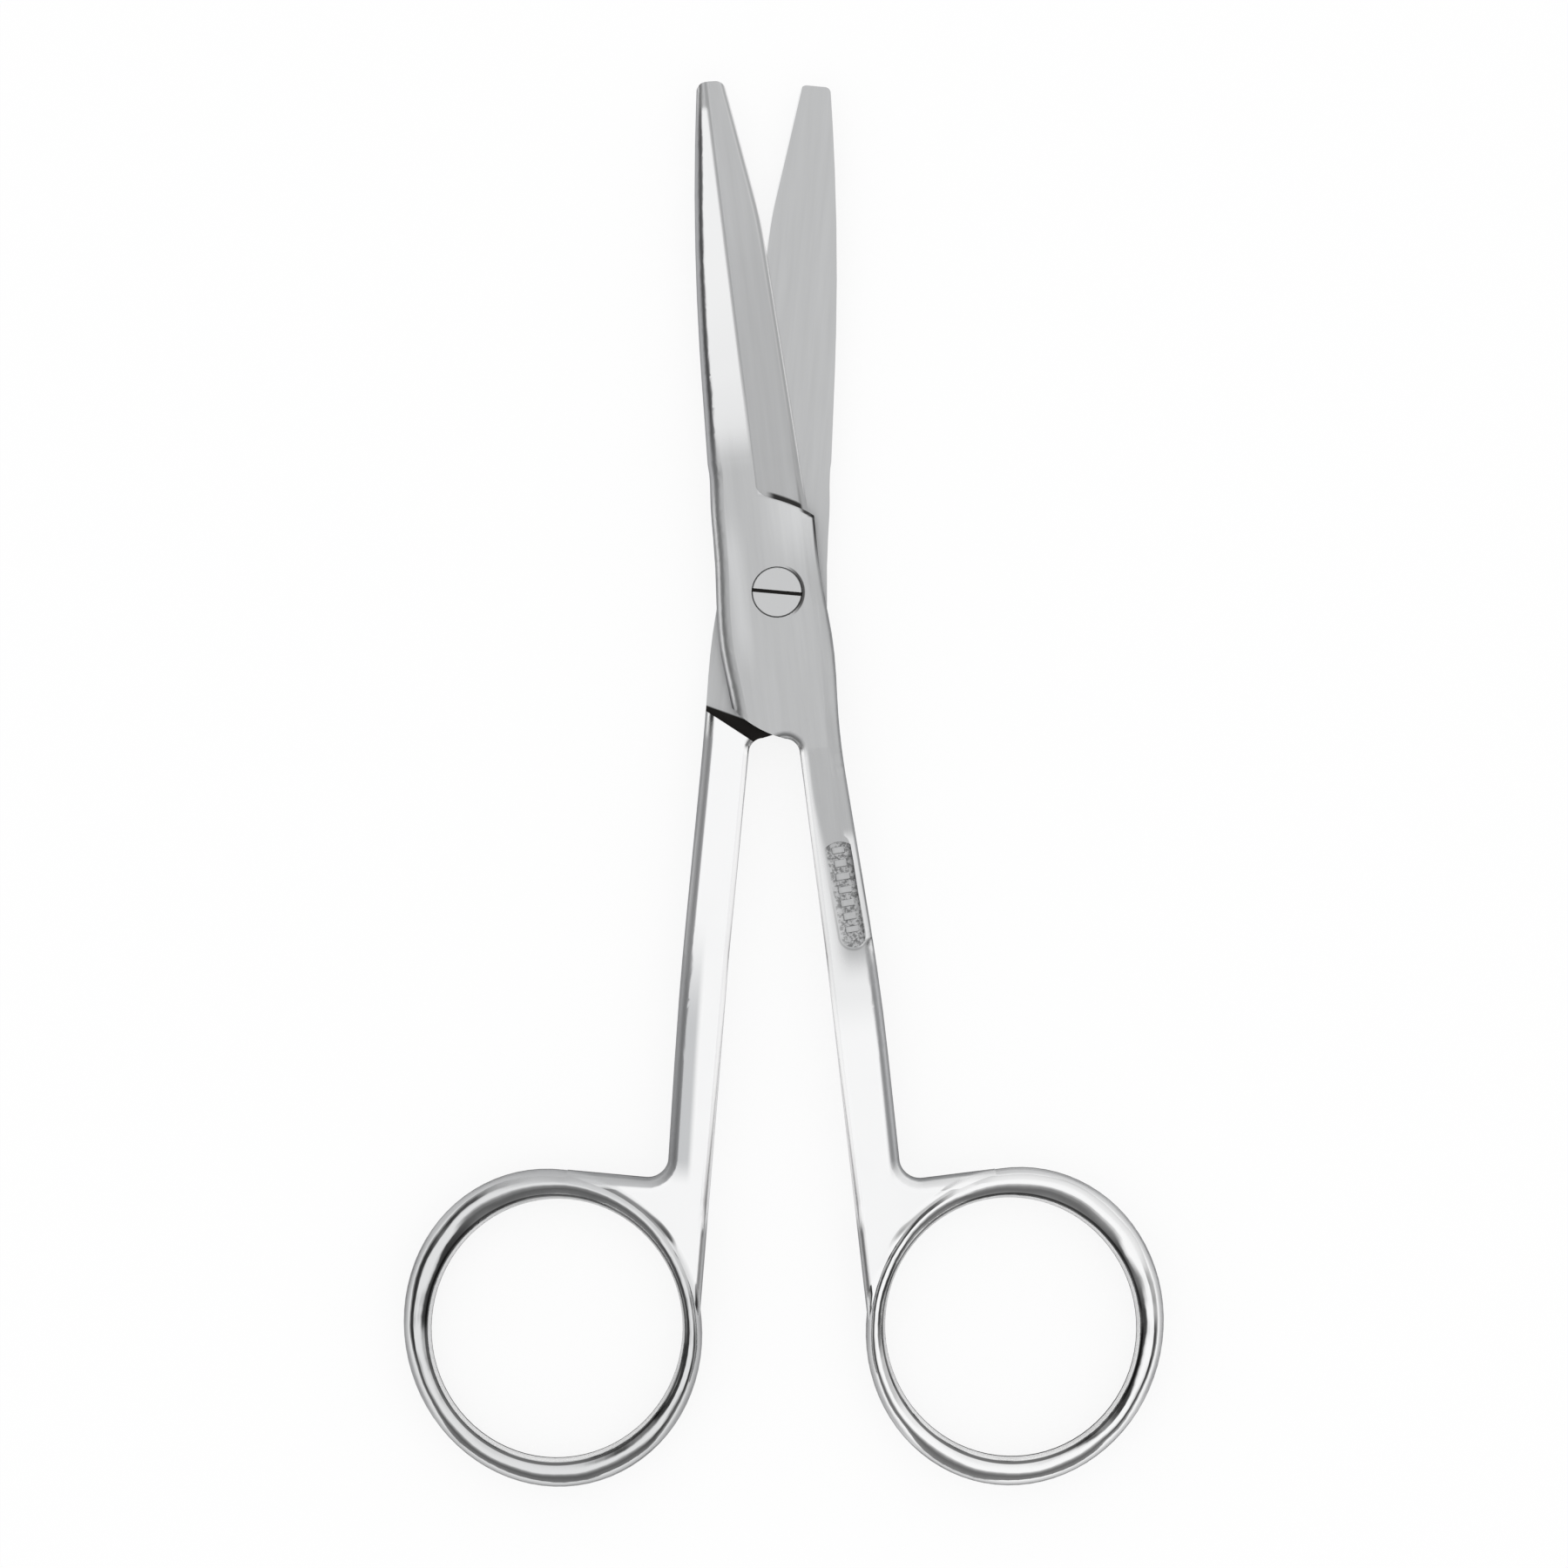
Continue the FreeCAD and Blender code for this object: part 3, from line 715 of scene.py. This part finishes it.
def steel_roughness(tree, half, at, satin, grain, smudge):
    wall = times(tree, opposite(tree, at.level), opposite(tree, at.in_ring))
    rounds = times(tree, ease(tree, at.up, *round_face),
                   either(tree, at.outside, ease(tree, at.y, *round_from)),
                   opposite(tree, at.in_ring))
    softest = at.inner_rim
    if half.turned_over:
        softest = either(tree, softest, times(tree, at.shank_round, shank_round_softens))
    buffed = calc(tree, "MULTIPLY_ADD", smudge["Smudges"], smudge_roughness, bright_roughness)
    buffed = calc(tree, "MULTIPLY_ADD", smudge["Hairlines"], hairline_roughness, buffed)
    buffed = calc(tree, "MULTIPLY_ADD", wall, wall_roughness - bright_roughness, buffed)
    buffed = calc(tree, "MULTIPLY_ADD", rounds, round_roughness, buffed)
    buffed = calc(tree, "MULTIPLY_ADD", softest, rim_roughness, buffed)
    ground = calc(tree, "MULTIPLY_ADD", grain["Lines"], line_roughness, satin_roughness)
    rough = tree.nodes.new("ShaderNodeMix")
    feed(tree, rough.inputs["Factor"], satin)
    feed(tree, rough.inputs["A"], buffed)
    feed(tree, rough.inputs["B"], ground)
    return rough.outputs["Result"]


# Polish by hand: it shades the edges flatter than the solid has them, leans the ring's two ends,
# and leaves soft waves round the ring. Heights are in millimetres.
inner_edge_round = 0.8
inner_edge_lift_from = (-16.0, -17.0)
near_end = (-4.0, -12.0)
near_end_lean = 0.1
near_end_blend = 1.0
far_end = (3.0, 13.0)
ring_flat_share = 0.8
ring_flat_lift = 0.95
ring_wave = 7.0
ring_wave_depth = 1.0


def flattened(tree, from_edge, radius):
    """How far a rounded edge has dropped at a place. Raised by that, it shades as flat."""
    into_round = calc(tree, "SUBTRACT", radius, from_edge)
    into_round = calc(tree, "MINIMUM", calc(tree, "MAXIMUM", into_round, 0.0), radius)
    left_over = calc(tree, "SUBTRACT", radius ** 2, times(tree, into_round, into_round))
    return calc(tree, "SUBTRACT", radius, calc(tree, "SQRT", left_over))


def polish_height(tree, half, at):
    inner = times(tree, flattened(tree, at.from_inner_edge, inner_edge_round), at.inner_side,
                  ease(tree, at.y, *inner_edge_lift_from))
    outer = times(tree, flattened(tree, at.from_side, outer_round), at.squared)

    near = ease(tree, at.up_the_ring, *near_end)
    far = ease(tree, at.up_the_ring, *far_end)
    flat = either(tree, at.ring_share, times(tree, at.ring_share, near, -1.0), 0.0)
    flat = calc(tree, "MINIMUM", flat, ring_flat_share)
    crown = calc(tree, "SQRT", calc(tree, "SUBTRACT", 1.0, times(tree, flat, flat)))
    ring = times(tree, opposite(tree, crown), ring_flat_lift)
    ring = calc(tree, "ADD", ring, times(tree, at.from_rim, far, -half.far_end_lean))
    outer_half = calc(tree, "SMOOTH_MAX", calc(tree, "SUBTRACT", at.from_hole, at.from_rim), 0.0,
                      near_end_blend)
    ring = calc(tree, "ADD", ring, times(tree, outer_half, near, -near_end_lean))
    waves = noise(tree, at.place, 1.0 / ring_wave, detail=1.0, roughness=0.5)
    waves = calc(tree, "SUBTRACT", waves, 0.5)
    ring = times(tree, calc(tree, "MULTIPLY_ADD", waves, ring_wave_depth, ring), at.in_ring)
    return calc(tree, "ADD", calc(tree, "ADD", inner, outer), ring)


lines_per_mm = 9.0
line_length = 6.0
line_strength = 0.25
line_depth = 0.00001
smudge_size = 9.0
grazing_tint = (0.55, 0.55, 0.555, 1.0)


def forged_steel(name, half):
    """The steel of one half: its ground and buffed finishes, painted light and shade, and wear."""
    material, tree, shader = new_material(name)
    at = places_on(tree, half)
    grain = place_group(tree, grain_group, Place=at.place, Lines_per_mm=lines_per_mm,
                        Line_length=line_length)
    smudge = place_group(tree, smudge_group, Place=at.place, Smudge_size=smudge_size)
    satin = belt_ground(tree, half, at)
    feed(tree, shader.inputs["Base Color"], steel_colour(tree, half, at, satin, grain, smudge))
    feed(tree, shader.inputs["Roughness"], steel_roughness(tree, half, at, satin, grain, smudge))
    shader.inputs["Metallic"].default_value = 1.0
    shader.inputs["Specular Tint"].default_value = grazing_tint
    polish = tree.nodes.new("ShaderNodeBump")
    polish.inputs["Distance"].default_value = 1.0 / mm_per_metre
    feed(tree, polish.inputs["Height"], polish_height(tree, half, at))
    lines = tree.nodes.new("ShaderNodeBump")
    lines.inputs["Strength"].default_value = line_strength
    lines.inputs["Distance"].default_value = line_depth
    feed(tree, lines.inputs["Height"], times(tree, grain["Lines"], satin))
    tree.links.new(polish.outputs[0], lines.inputs["Normal"])
    tree.links.new(lines.outputs[0], shader.inputs["Normal"])
    return material


def finish_node(name, material):
    """Gives a piece of the frame its real material in every slot."""
    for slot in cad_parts[name].material_slots:
        slot.material = material


class LowerHalf:
    turned_over = True
    turn = opening_angle / 2
    side_places = (5.2, 5.75, 5.6, 5.8, 5.25, 5.35)
    facet_begins = (-34.0, -46.0)
    facet_width = (2.6, 1.9)
    ring_y = -77.9
    # Painted shade: the lower ring is painted darker than the upper one.
    ring_painted_brightness = (0.74, 0.745, 0.75, 1.0)
    far_end_lean = 0.22


finish_node("lower_half", forged_steel("forged_steel_lower", LowerHalf))


# Upper half: the same forging turned over, with the seat of the screw's head and a stamped panel
# on its shank.
class UpperHalf:
    turned_over = False
    turn = -opening_angle / 2
    side_places = (5.8, 6.15, 5.1, 5.8, 5.2, 5.35)
    facet_begins = (-37.5, -40.0)
    facet_width = (1.25, 0.85)
    ring_y = -78.4
    ring_painted_brightness = (0.94, 0.942, 0.945, 1.0)
    far_end_lean = 0.14


upper_steel = forged_steel("forged_steel_upper", UpperHalf)
finish_node("upper_half", upper_steel)


# Stamped panel: the die left a row of plain raised bars in the floor of the panel on the upper
# half's shank. They are the same steel, forged with it in one blow.
bar_count = 7
bar_pitch = 1.38
bar_size = (1.45, 0.7, 0.26)
bars_from_top = 0.4
bar_crease = 0.62
bar_rounding = 3
bar_wear_seed = 7
most_worn = (0.82, 0.85, 0.8)
least_worn = (1.0, 1.1, 1.0)

bars = bpy.data.node_groups.new("row_of_stamped_bars", "GeometryNodeTree")
for socket, kind in (("Bars", "Int"), ("Pitch", "Float"), ("Bar size", "Vector"),
                     ("Wear seed", "Int"), ("Steel", "Material")):
    bars.interface.new_socket(socket, in_out="INPUT", socket_type="NodeSocket" + kind)
bars.interface.new_socket("Geometry", in_out="OUTPUT", socket_type="NodeSocketGeometry")
given = bars.nodes.new("NodeGroupInput").outputs
step = bars.nodes.new("ShaderNodeCombineXYZ")
feed(bars, step.inputs["Y"], calc(bars, "MULTIPLY", given["Pitch"], -1.0))
row = bars.nodes.new("GeometryNodeMeshLine")
bars.links.new(given["Bars"], row.inputs["Count"])
bars.links.new(step.outputs[0], row.inputs["Offset"])
block = bars.nodes.new("GeometryNodeMeshCube")
bars.links.new(given["Bar size"], block.inputs["Size"])
rounded = bars.nodes.new("GeometryNodeSubdivisionSurface")
rounded.inputs["Level"].default_value = bar_rounding
rounded.inputs["Edge Crease"].default_value = bar_crease
bars.links.new(block.outputs["Mesh"], rounded.inputs["Mesh"])
smooth = bars.nodes.new("GeometryNodeSetShadeSmooth")
bars.links.new(rounded.outputs["Mesh"], smooth.inputs["Geometry"])
wear = bars.nodes.new("FunctionNodeRandomValue")
wear.data_type = "FLOAT_VECTOR"
wear.inputs["Min"].default_value = most_worn
wear.inputs["Max"].default_value = least_worn
bars.links.new(given["Wear seed"], wear.inputs["Seed"])
placed = bars.nodes.new("GeometryNodeInstanceOnPoints")
bars.links.new(row.outputs["Mesh"], placed.inputs["Points"])
bars.links.new(smooth.outputs["Geometry"], placed.inputs["Instance"])
bars.links.new(wear.outputs["Value"], placed.inputs["Scale"])
on_shank = bars.nodes.new("GeometryNodeTransform")
on_shank.inputs["Rotation"].default_value = (0.0, 0.0, math.radians(panel_lean))
on_shank.inputs["Translation"].default_value = ((panel_x - screw_offset) / mm_per_metre,
                                                (panel_top_y - bars_from_top) / mm_per_metre,
                                                (panel_floor_z + joint_plane) / mm_per_metre)
bars.links.new(placed.outputs["Instances"], on_shank.inputs["Geometry"])
opened = bars.nodes.new("GeometryNodeTransform")
opened.inputs["Rotation"].default_value = (0.0, 0.0, math.radians(opening_angle / 2))
bars.links.new(on_shank.outputs["Geometry"], opened.inputs["Geometry"])
real = bars.nodes.new("GeometryNodeRealizeInstances")
bars.links.new(opened.outputs["Geometry"], real.inputs["Geometry"])
dressed = bars.nodes.new("GeometryNodeSetMaterial")
bars.links.new(real.outputs["Geometry"], dressed.inputs["Geometry"])
bars.links.new(given["Steel"], dressed.inputs["Material"])
bars.links.new(dressed.outputs["Geometry"], bars.nodes.new("NodeGroupOutput").inputs[0])

raw_row = bpy.data.objects.new("bars_to_make", bpy.data.meshes.new("bars_to_make"))
bpy.context.scene.collection.objects.link(raw_row)
maker = raw_row.modifiers.new("row", "NODES")
maker.node_group = bars
sockets = {item.name: item.identifier for item in bars.interface.items_tree
           if item.in_out == "INPUT"}
maker[sockets["Bars"]] = bar_count
maker[sockets["Pitch"]] = bar_pitch / mm_per_metre
maker[sockets["Bar size"]] = [size / mm_per_metre for size in bar_size]
maker[sockets["Wear seed"]] = bar_wear_seed
maker[sockets["Steel"]] = upper_steel
ready = raw_row.evaluated_get(bpy.context.evaluated_depsgraph_get())
bar_row = bpy.data.objects.new("stamped_bars", bpy.data.meshes.new_from_object(ready))
bpy.data.objects.remove(raw_row)
bpy.context.scene.collection.objects.link(bar_row)
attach(bar_row, "upper_body")


# Joint screw: turned from bar, faced off across the slot, screwed into the lower half and filed
# flush with it.
head_steel = (0.61, 0.615, 0.62, 1.0)
head_face_z = (5.12, 5.05)
turning_marks_per_mm = 14.0
head_roughness = 0.3
turning_mark_roughness = 0.15
turning_mark_strength = 0.3
turning_mark_depth = 0.00001

screw_steel, tree, shader = new_material("turned_screw_steel")
shader.inputs["Metallic"].default_value = 1.0
x, y, z = three_parts(tree, tree.nodes.new("ShaderNodeTexCoord").outputs["Object"])
from_axis = tree.nodes.new("ShaderNodeCombineXYZ")
feed(tree, from_axis.inputs[0], times(tree, distance(tree, x, y), mm_per_metre))
marks = noise(tree, from_axis.outputs[0], turning_marks_per_mm, detail=2.0, roughness=0.5)
in_slot = ease(tree, times(tree, z, mm_per_metre), *head_face_z)
# The slot below the head's face is painted black, as painted shade.
feed(tree, shader.inputs["Base Color"], mix_colour(tree, in_slot, head_steel, painted_shade_black))
feed(tree, shader.inputs["Roughness"],
     calc(tree, "MULTIPLY_ADD", marks, turning_mark_roughness, head_roughness))
turned = tree.nodes.new("ShaderNodeBump")
turned.inputs["Strength"].default_value = turning_mark_strength
turned.inputs["Distance"].default_value = turning_mark_depth
feed(tree, turned.inputs["Height"], marks)
tree.links.new(turned.outputs[0], shader.inputs["Normal"])
finish_node("joint_screw", screw_steel)
